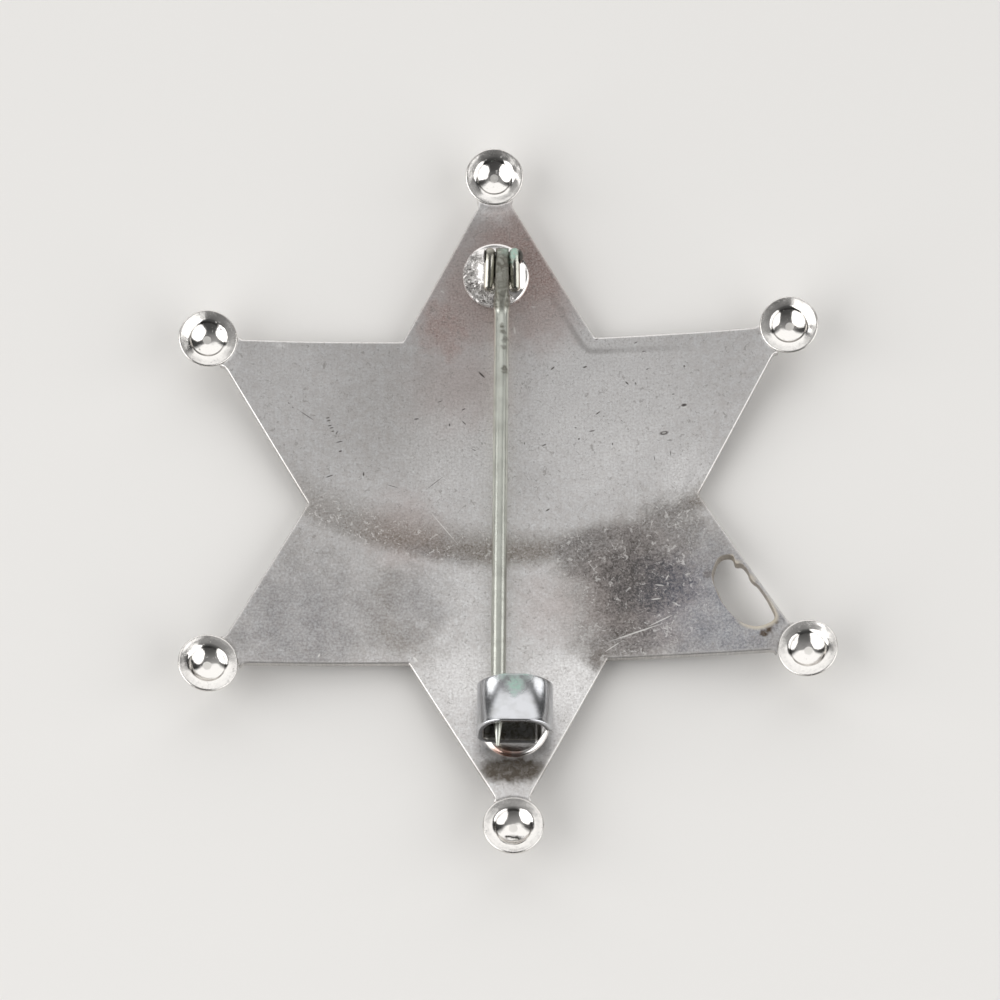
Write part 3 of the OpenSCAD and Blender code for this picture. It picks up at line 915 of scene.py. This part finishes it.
def plated_sheet():
    """Satin nickel plate on the struck sheet: a soft pale sheen with faint upright polishing marks, fine
    curved scratches and dark nicks, darker towards its ends, pinkish and stippled by the hinge, a painted
    dark reflection in an arc across the middle, and darker mottled tarnish at the lower right. Also painted
    light: the catch's reflection below it, shade along the struck border line, a shadow by the hole and
    highlights beside some nicks."""
    made, add, shader, place = metal("satin_nickel_plate_tarnish_and_painted_shade", "#D3D0CD", 0.27)
    plan = add("VectorMath MULTIPLY", [place, (1, 1, 0)])
    # The many marks come first, because only so many values can wait in a Cycles shader at a time
    nicks, pale = marks(add, plan, MARKS), marks(add, plan, PALE_MARKS)
    x, y = (add("SeparateXYZ", [plan], axis) for axis in "XY")
    far, near = drift(add, place, 0.45, 6), drift(add, place, 1.3, 1.2)
    cloud, mottle = add("TexNoise", [plan, 0.5, 5, 0.6]), add("TexNoise", [near, 1.5, 5, 0.7])
    fine, stipple = add("TexNoise", [plan, 4.5, 3, 0.7]), add("TexNoise", [plan, 5.5, 2, 0.8])
    brushed = add("TexNoise", [add("VectorMath MULTIPLY", [plan, (6, 0.4, 1)]), 1, 3])
    uneven = add("MapRange", [mottle, 0.3, 0.7, 0.72, 1.2])

    # The arc, a painted dark reflection: soft above at its left half, sharper at the right and below, and
    # fading at its left end
    from_arc = add("VectorMath DISTANCE", [near, (0, ARC_Y, 0)], "Value")
    start = add("MapRange", [x, -6, 8, ARC_R - 4.4, ARC_R - 1.9])
    arc_reflection = add("MapRange SMOOTHSTEP", [from_arc, start, ARC_R - 0.1, 0, 1])
    below = add("MapRange SMOOTHSTEP", [from_arc, ARC_R + 0.1, ARC_R + 1.9, 1, 0])
    arc_reflection = add("Math MULTIPLY", [arc_reflection, below])
    ends = add("MapRange", [x, -18.5, -6, 0.46, 0.66])
    arc_reflection = add("Math MULTIPLY", [arc_reflection, ends])

    # The grey tarnish at the lower right, under an uneven border, and the darker patches of the ends
    above = add("MapRange SMOOTHSTEP", [from_arc, ARC_R - 2.6, ARC_R - 0.6, 0, 1])
    right = add("MapRange SMOOTHSTEP", [x, 8.5, 14, 0, 1])
    above = add("Math MAXIMUM", [above, right])
    grey = add("Math MULTIPLY", [spot_mask(add, far, GREY_SPOTS), above])
    # The arc's painted dark reflection and the real grey tarnish, taken together
    tarnish_and_reflection = add("Math MAXIMUM", [arc_reflection, grey])
    tarnish_and_shade = add("Math MULTIPLY", [tarnish_and_reflection, uneven])
    patchy = add("MapRange", [cloud, 0.35, 0.65, -0.09, 0.1])
    lower = add("MapRange", [y, -1, -6, 0, 1])
    dimmed = add("Math MULTIPLY_ADD", [patchy, lower, spot_mask(add, far, DIM_SPOTS)])
    tarnish_and_shade = add("Math MAXIMUM", [tarnish_and_shade, dimmed])
    grit = add("MapRange", [fine, 0.3, 0.7, -0.3, 0.3])
    tarnish_and_shade = add("Math MULTIPLY_ADD", [grit, tarnish_and_shade, tarnish_and_shade], use_clamp=True)

    # Scratches are pale on the tarnish and on the arc's painted reflection, and darker nicks on the clean
    # plate
    lines = add("Math MAXIMUM", [hair_lines(add, near, 1.3, 1), hair_lines(add, far, 0.9, 2)])
    tarnish_and_reflection = add("MapRange", [tarnish_and_reflection, 0.15, 0.5, 0.1, 1])
    lines = add("Math MULTIPLY", [lines, tarnish_and_reflection])
    scuffs = add("Math MAXIMUM", [hair_lines(add, far, 0.55, 3), hair_lines(add, near, 0.8, 4)])
    pits = add("MapRange", [fine, 0.67, 0.74, 0, 1])

    # Pink with a fine stipple, the painted dark reflection below the catch, and the painted shade of the
    # border line
    pink = add("Math MULTIPLY", [spot_mask(add, far, PINK_SPOTS), uneven], use_clamp=True)
    sparkle = add("MapRange", [stipple, 0.52, 0.66, 0, 0.9])
    specks = add("MapRange", [stipple, 0.48, 0.34, 0, 0.75])
    # Painted dark reflection of the catch on the plate below it
    shade = add("Math MULTIPLY", [marks(add, near, SHADE, 0.55, 1.15), uneven], use_clamp=True)
    from_edge = add("Attribute edge", [], "Fac")
    # Painted shade along the struck border line
    ghost = beside(add, from_edge, BORDER_INSET, 0.05, 0.45, 0.55, "MapRange SMOOTHSTEP")
    broad = add("MapRange", [mottle, 0.38, 0.62, 0, 1])
    flecks = add("MapRange", [fine, 0.38, 0.62, 0, 0.6])
    streaks = add("MapRange", [brushed, 0.35, 0.7, 0, 0.2])

    # Pale bare metal on the worn outline, and dull cream residue on the tabs and the lower end of the hole
    edge = add("MapRange", [from_edge, 0.08, 0.3, 0.4, 0])
    hole = add("Attribute hole", [], "Fac")
    lip = add("MapRange", [hole, 0.2, 0.5, 0.85, 0])
    lip = add("Math MULTIPLY", [lip, spot_mask(add, near, RESIDUE_SPOTS)])
    wall = add("MapRange", [hole, 0, 0.1, 0.7, 0])
    residue = add("Math MAXIMUM", [lip, wall])
    bare = add("MapRange", [residue, 0, 1, 1, 0.3])

    dark = layered(add, linear("#645849"), [(grey, "#5B5857"), (spot_mask(add, far, COOL_SPOTS), "#585C68")])
    colour = layered(add, linear("#CFCCCA"), [
        (broad, "#E0E0E0"), (spot_mask(add, far, CLEAN_SPOTS), "#F0EFEE"), (flecks, "#BEBAB8"),
        (streaks, "#BAB6B3"), (pink, "#B69C95"), (sparkle, "#E2D9D5", pink), (specks, "#86716A", pink),
        (tarnish_and_shade, dark), (ghost, "#6F6A67", spot_mask(add, far, GHOST_SPOTS)),
        # Brown residue, and a painted shadow along the lip by the hole
        (spot_mask(add, near, BROWN_SPOTS), "#4A3A2A"),
        (shade, "#5F5850"), (scuffs, "#8F8A86", 0.55), (lines, "#E4E2DF", 0.45), (pits, "#6E6865", 0.4),
        # The pale marks include painted highlights beside some nicks
        (nicks, "#463F3C", 0.9), (pale, "#EEECE8", 0.6),
        (edge, "#E6E3DF"), (lip, "#C4BBAA"), (wall, "#A69C8E")])
    rough = add("MapRange", [tarnish_and_shade, 0, 1, 0.38, 0.45])
    flecked = add("MapRange", [fine, 0.3, 0.7, -0.03, 0.04])
    rough = add("Math ADD", [rough, flecked])
    finished(add, shader, {"Base Color": colour, "Roughness": rough, "Metallic": bare},
             [(fine, 0.25), (brushed, 0.1), (mottle, 0.3), (lines, -0.5)], 0.03)
    return made


def polished_cup():
    """Bright nickel plate of the ball tips: mirror-like in the cup and on the ball, with pits, hazy and
    mottled on the sloping rim, and dull on the small flat. A broken dark line round the cup is a painted
    reflection."""
    made, add, shader, place = metal("bright_nickel_plate", "#E4E1DC", 0.1)
    fine, cloud = add("TexNoise", [place, 2.8, 4, 0.7]), add("TexNoise", [place, 1, 4, 0.6])
    rho = add("Attribute from_axis", [], "Fac")
    rim = add("MapRange SMOOTHSTEP", [rho, LIP_R - 0.15, LIP_R + 0.45, 0, 1])
    flat = add("MapRange", [rho, CUP_FLAT_R - 0.02, CUP_FLAT_R + 0.04, 1, 0])
    behind = add("MapRange", [rho, 0, 0.01, 0, 1])
    flat = add("Math MULTIPLY", [flat, behind])
    # Painted dark reflection: a broken line round the mouth of the cup
    ring_reflection = beside(add, rho, CUP_MOUTH_R + 0.05, 0.03, 0.11, 0.62)
    broken = add("MapRange", [cloud, 0.4, 0.6, 0.3, 1])
    pits = add("MapRange", [fine, 0.66, 0.72, 0, 0.6])
    mottled = add("MapRange", [fine, 0.45, 0.65, 0, 0.22])
    colour = layered(add, linear("#E6E3DF"), [
        (rim, "#E2DFDB"), (mottled, "#8D8987", rim), (pits, "#6C6864"), (ring_reflection, "#5A534D", broken),
        (flat, "#E4E1DC")])
    rough = add("MapRange", [rim, 0, 1, 0.09, 0.25])
    hazy = add("MapRange", [cloud, 0.4, 0.7, 0, 0.05])
    rough = add("Math ADD", [rough, hazy])
    rough = add("Math MULTIPLY_ADD", [flat, 0.32, rough])
    finished(add, shader, {"Base Color": colour, "Roughness": rough},
             [(fine, 0.45), (cloud, 0.6), (pits, -1)], 0.016)
    return made


def solder(name, dull, warm):
    """Solder of the round patches: bright and smooth where it flowed, with a dark wrinkled crust where the
    flux burnt on, and pinkish in the given spots."""
    made, add, shader, place = metal(name, "#DDDAD6", 0.2)
    fine = add("TexNoise", [place, 2.3, 3, 0.65, 1.4])
    crust = spot_mask(add, drift(add, place, 1.2, 1), dull)
    fold = beside(add, fine, 0.5, 0.012, 0.05, 1)
    pits = add("MapRange", [fine, 0.36, 0.45, 0.7, 0])
    dark = add("Math MAXIMUM", [fold, pits])
    dark = add("Math MULTIPLY", [dark, crust])
    pinkish_tint = spot_mask(add, drift(add, place, 1.2, 0.5), warm)
    colour = layered(add, linear("#E4E1DE"), [(dark, "#3C322D", 0.92), (pinkish_tint, "#B58F80")])
    rough = add("MapRange", [crust, 0, 1, 0.16, 0.46])
    finished(add, shader, {"Base Color": colour, "Roughness": rough}, [(fine, 0.25), (dark, -1)], 0.05)
    return made


def nickel_silver(name, colour, roughness, green_spots=(), brown_spots=()):
    """Nickel silver of the fittings: a slightly yellowish grey with a worn shine, brown tarnish in spots
    and on the inner side of a bent strip, and pale green verdigris in powdery spots, no longer metal."""
    made, add, shader, place = metal(name, colour, roughness)
    fine, cloud = add("TexNoise", [place, 3, 4, 0.7]), add("TexNoise", [place, 0.8, 3])
    wisps = add("TexNoise", [place, 1.6, 4, 0.5, 1.2])
    moved = drift(add, place, 1.5, 0.7)
    powder = add("MapRange", [fine, 0.38, 0.56, 0.25, 1])
    green = add("Math MULTIPLY", [spot_mask(add, moved, green_spots), powder])
    dull = add("MapRange", [cloud, 0.45, 0.7, 0, 0.3])
    patchy = add("MapRange", [wisps, 0.35, 0.65, 0.75, 1.2])
    inner = add("MapRange", [add("Attribute inside", [], "Fac"), 0.6, 0.95, 0, 0.82])
    brown = add("Math MAXIMUM", [spot_mask(add, moved, brown_spots), inner])
    brown = add("Math MULTIPLY", [brown, patchy], use_clamp=True)
    shade = layered(add, linear(colour), [(dull, "#8E8D85"), (brown, "#4F4A3F"), (green, "#9CBFB0")])
    metallic = add("Math SUBTRACT", [1, green])
    rough = add("MapRange", [brown, 0, 1, roughness, 0.42])
    rough = add("Math MULTIPLY_ADD", [green, 0.5, rough])
    finished(add, shader, {"Base Color": shade, "Roughness": rough, "Metallic": metallic},
             [(fine, 0.35), (green, 0.8)], 0.03)
    return made


# The pieces
sheet, sheet_distances = star_sheet()
piece("star_sheet", sheet, plated_sheet(), "badge", "star_plate", sheet_distances)

tips, tips_distances = ball_tips()
piece("ball_tips", tips, polished_cup(), "badge", "star_plate", tips_distances)

hinge_patch = on_pin_line(on_dish(patch(HINGE_PATCH_SHIFT, HINGE_PATCH_ROUND, hinge_solder), HINGE_Y))
hinge_crust = [(-2.7, 21.6, 0.8, 0.5, 1), (-2.5, 20.4, 0.9, 0.5, 1), (-1.5, 19.4, 1, 0.5, 1),
               (-0.2, 18.8, 0.8, 0.4, 1), (-2, 22.9, 0.6, 0.4, 0.9), (1, 18.9, 0.5, 0.3, 0.6)]
wrinkled = solder("solder_wrinkled", hinge_crust, [])
piece("hinge_patch", skin(hinge_patch), wrinkled, "badge", "star_plate")

catch_patch = on_pin_line(on_dish(patch(CATCH_PATCH_SHIFT, CATCH_PATCH_ROUND, catch_solder), -CATCH_Y))
# Pinkish spots on the south rim of the catch patch
pinkish_rim_spots = [(-1.2, -24, 0.6, 0.4, 0.85), (-0.4, -24.2, 0.6, 0.4, 1), (0.5, -24.2, 0.5, 0.4, 0.7)]
smooth = solder("solder_smooth", [], pinkish_rim_spots)
piece("catch_patch", skin(catch_patch), smooth, "badge", "star_plate")

ear_green = [(1.6, 23.3, 0.62, 0.3, 1), (1.5, 22.5, 0.5, 0.3, 0.95), (1.2, 21.9, 0.25, 0.2, 0.8)]
ear_brown = [(-0.6, 22.6, 0.45, 0.3, 0.7), (0, 20.5, 0.35, 0.3, 0.8), (1.1, 20.6, 0.3, 0.3, 0.7)]
ear_metal = nickel_silver("nickel_silver_verdigris", "#C2C0B6", 0.2, ear_green, ear_brown)
piece("hinge_ears", hinge_ears(), ear_metal, "badge", "hinge_joint")

rivet_metal = nickel_silver("nickel_silver_darkened", "#4F4D4A", 0.25)
piece("rivet", rivet(), rivet_metal, "badge", "hinge_rivet")

strip_green = [(0.5, -18.8, 0.7, 0.5, 0.9), (0.4, -19.6, 0.3, 0.3, 0.7), (-0.5, -17.8, 0.5, 0.5, 0.6),
               (1.5, -17.9, 0.5, 0.5, 0.55)]
strip_brown = [(0.4, -17.9, 1.5, 0.7, 0.35)]
strip_metal = nickel_silver("nickel_silver_bright", "#CBCCCF", 0.2, strip_green, strip_brown)
strip, strip_sides = catch_strip()
piece("catch_strip", strip, strip_metal, "badge", "catch", strip_sides)

wire_brown = [(0.5, 23.2, 1.2, 0.4, 0.72), (0.45, 21.4, 1.5, 0.4, 0.72), (0.4, 19.4, 1.5, 0.3, 0.72),
              (0.3, 18.2, 1.1, 0.25, 0.72), (0.25, 15.5, 0.22, 0.15, 0.8), (0.4, 14.9, 0.28, 0.15, 0.6),
              (0.45, 14.2, 0.26, 0.15, 0.6), (0.45, 13.4, 0.25, 0.15, 0.45), (0.4, 11.4, 0.26, 0.12, 0.65),
              (0.4, 11.05, 0.22, 0.12, 0.5)]
wire_metal = nickel_silver("nickel_silver_wire", "#CCCEC5", 0.28, [(0.8, 23, 0.5, 0.4, 0.35)], wire_brown)
piece("pin_wire", pin(), wire_metal, "pin", "pin_stem")

# Camera: above the lower edge of the badge, at the photograph's angle and distance
CAMERA_TILT = 0.3139
CAMERA_TURN = -0.0223
CAMERA_ROLL = 0.0278
CAMERA_DISTANCE = 303.3
CAMERA_LENS = 119.55
CAMERA_SHIFT = (-0.00327, 0.00143)

eye = CAMERA_DISTANCE * np.array([math.sin(CAMERA_TURN) * math.sin(CAMERA_TILT),
                                  -math.cos(CAMERA_TURN) * math.sin(CAMERA_TILT), math.cos(CAMERA_TILT)])
ahead = -eye / np.linalg.norm(eye)
across = np.cross(ahead, (0, 1, 0))
across /= np.linalg.norm(across)
up = np.cross(across, ahead)
eye, across, up, ahead = (turned(v, -math.degrees(CAMERA_ROLL)) for v in (eye, across, up, ahead))
view = columns(across, up, -ahead, (eye + (0, 0, SHEET_T)) * MM)
camera = placed("camera", bpy.data.cameras.new("camera"))
camera.matrix_world = Matrix([*view.tolist(), [0, 0, 0, 1]])
camera.data.lens = CAMERA_LENS
camera.data.shift_x, camera.data.shift_y = CAMERA_SHIFT
camera.data.clip_start = 0.01
bpy.context.scene.camera = camera

# Plain pale floor, in metres
FLOOR_HALF = 3
FLOOR_Z = -0.0001
paper = bpy.data.materials.new("pale_paper")
paper.use_nodes = True
paper.node_tree.nodes["Principled BSDF"].inputs["Base Color"].default_value = linear("#E6E4E1")
paper.node_tree.nodes["Principled BSDF"].inputs["Roughness"].default_value = 0.9
corners = [(x * FLOOR_HALF, y * FLOOR_HALF, FLOOR_Z) for x, y in [(-1, -1), (1, -1), (1, 1), (-1, 1)]]
floor_mesh = bpy.data.meshes.new("floor")
floor_mesh.from_pydata(corners, [], [(0, 1, 2, 3)])
floor_mesh.materials.append(paper)
floor = placed("floor", floor_mesh)

# Oval softboxes low at the left and the right
LIGHTS = [
    # name, compass angle from east, angle from the zenith, distance, width, height, radiance
    ("softbox_left", 195, 58, 0.9, 1.2, 1.1, 2.4),
    ("softbox_right", -18, 58, 0.9, 1.2, 1.1, 1.8),
]
for name, compass, zenith, distance, width, height, radiance in LIGHTS:
    lamp = bpy.data.lights.new(name, "AREA")
    lamp.shape = "ELLIPSE"
    lamp.size, lamp.size_y = width, height
    lamp.energy = radiance * math.pi * width * height * math.pi / 4
    lean, around = math.radians(zenith), math.radians(compass)
    towards = Vector((math.sin(lean) * math.cos(around), math.sin(lean) * math.sin(around), math.cos(lean)))
    turn = towards.to_track_quat("Z", "Y")
    placed(name, lamp).matrix_world = Matrix.LocRotScale(distance * towards, turn, None)

# The studio round them: dim behind the camera, brighter overhead, and a bright wall at the north
SKY = [
    # degrees from the zenith towards north, radiance
    (-90, 0.06), (-40, 0.08), (-20, 0.16), (0, 0.28), (12, 0.36), (30, 0.4), (60, 0.3), (90, 0.2),
]
WALL_FOOT, WALL_TOP, WALL_RADIANCE = math.radians(11), math.radians(27), 1.25
WALL_FULL, WALL_END = math.radians(42), math.radians(54)
studio = bpy.data.worlds.new("studio")
studio.use_nodes = True
add = adder(studio.node_tree)
way = add("TexCoord", [], "Generated")
east, north, high = (add("SeparateXYZ", [way], axis) for axis in "XYZ")
lean = add("Math ARCTAN2", [north, high])
overhead = add("ValToRGB", [add("MapRange", [lean, -math.pi / 2, math.pi / 2, 0, 1])])
stops = overhead.node.color_ramp.elements
for degrees, _ in SKY[1:-1]:
    stops.new((degrees + 90) / 180)
for stop, (_, radiance) in zip(stops, SKY):
    stop.color = (radiance, radiance, radiance, 1)
aside = add("Math ABSOLUTE", [east])
middle = add("MapRange SMOOTHSTEP", [aside, 0.3, 0.75, 1, 0.2])
slope = add("MapRange", [east, -0.5, 0.5, 1.12, 0.86])
overhead = add("Math MULTIPLY", [overhead, middle])
overhead = add("Math MULTIPLY", [overhead, slope])
wall = add("MapRange SMOOTHSTEP", [lean, WALL_FOOT, WALL_TOP, 0, WALL_RADIANCE])
turn = add("Math ARCTAN2", [aside, north])
turn = add("MapRange", [turn, WALL_FULL, WALL_END, 1, 0])
wall = add("Math MULTIPLY", [wall, turn])
light = add("Math MAXIMUM", [overhead, wall])
studio.node_tree.links.new(light, studio.node_tree.nodes["Background"].inputs["Color"])
bpy.context.scene.world = studio
bpy.context.scene.view_settings.view_transform = "Standard"
